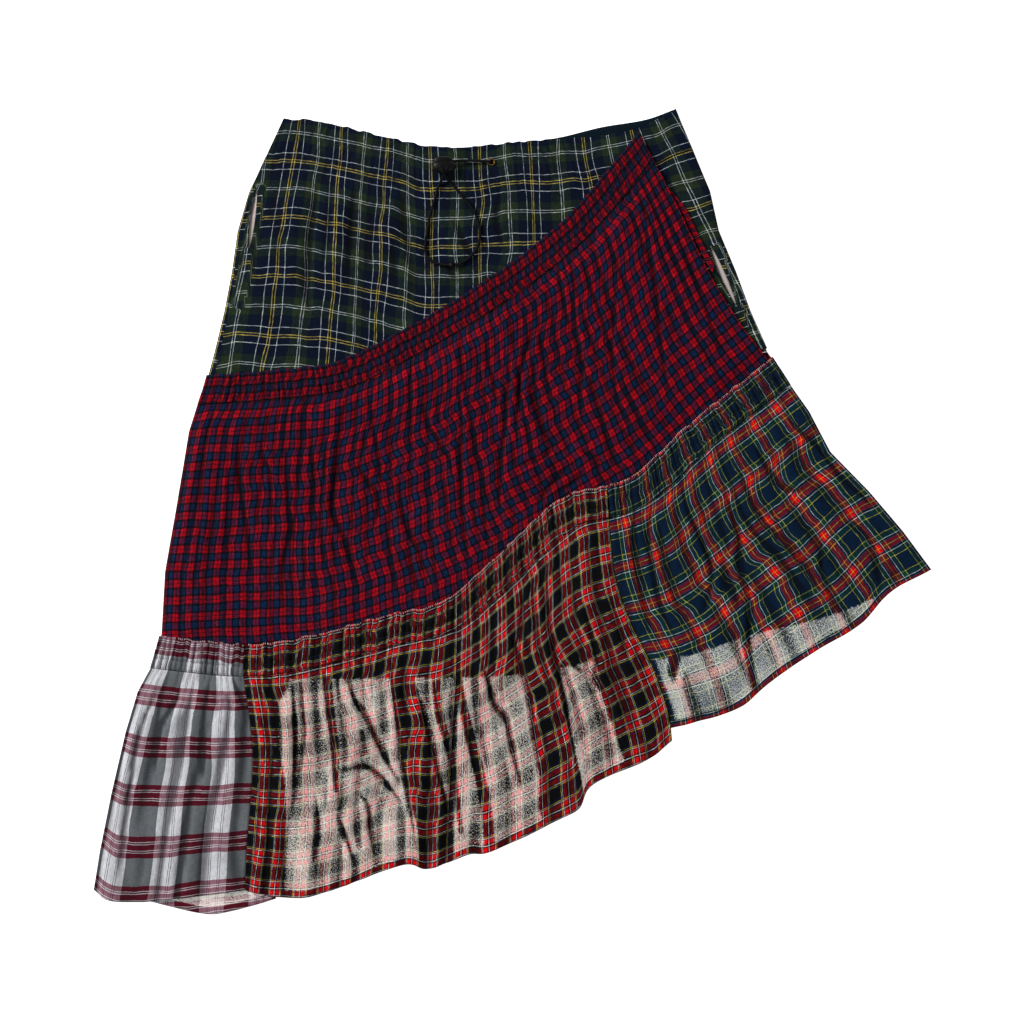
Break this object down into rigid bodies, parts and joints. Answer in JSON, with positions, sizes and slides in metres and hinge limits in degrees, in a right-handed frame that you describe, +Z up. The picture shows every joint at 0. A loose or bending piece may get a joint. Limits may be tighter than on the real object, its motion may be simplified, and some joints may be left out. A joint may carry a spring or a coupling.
{
  "type": "tiered midi skirt",
  "caption": "Gathered skirt laid flat: elastic waist with a drawcord and lock, short yoke and slanted tiers of patchwork checks, longer at one side.",
  "frame": {"origin": "under the middle of the flat skirt, on the surface it lies on", "axes": "+X to the right across the front, +Y from hem to waist, +Z up off the surface"},
  "size_m": [0.837, 0.8052, 0.0159],
  "materials": {
    "tartan_navy_green": "brushed cotton, navy and dark green tartan with fine yellow and white lines",
    "check_red_navy": "thin open cotton, small red and navy check",
    "plaid_grey_white": "brushed cotton, grey and white plaid with burgundy bands",
    "tartan_black_red": "thin open cotton, small black tartan with red, yellow, white and blue lines",
    "tartan_green_red": "thin open cotton, navy and green tartan with red, yellow and white lines",
    "pocketing": "plain pale cotton",
    "brass": "polished, slightly worn",
    "black_plastic": "moulded, soft shine",
    "black_cord": "braided elastic cord"
  },
  "bodies": {
    "root": {"waist_casing_front": "tartan_navy_green", "yoke_front": "tartan_navy_green", "pocket_bag_left": "pocketing", "pocket_bag_right": "pocketing", "tier2_casing_front": "check_red_navy", "tier2_front": "check_red_navy", "tier2_side_hem": "check_red_navy", "tier3_casing_grey_front": "plaid_grey_white", "tier3_grey_front": "plaid_grey_white", "tier3_casing_black_a_front": "tartan_black_red", "tier3_black_a_front": "tartan_black_red", "tier3_casing_black_b_front": "tartan_black_red", "tier3_black_b_front": "tartan_black_red", "tier3_casing_green_front": "tartan_green_red", "tier3_green_front": "tartan_green_red", "waist_casing_back": "tartan_navy_green", "yoke_back": "tartan_navy_green", "tier2_casing_back": "check_red_navy", "tier2_back": "check_red_navy", "tier3_casing_back": "tartan_green_red", "tier3_grey_back": "plaid_grey_white", "tier3_green_back": "tartan_green_red", "eyelet_right": "brass", "eyelet_left": "brass", "cord_lock": "black_plastic", "cord_lock_plunger": "black_plastic", "cord_bead": "black_plastic", "drawcord_waist": "black_cord", "drawcord_left": "black_cord", "drawcord_right": "black_cord"}
  },
  "joints": []
}
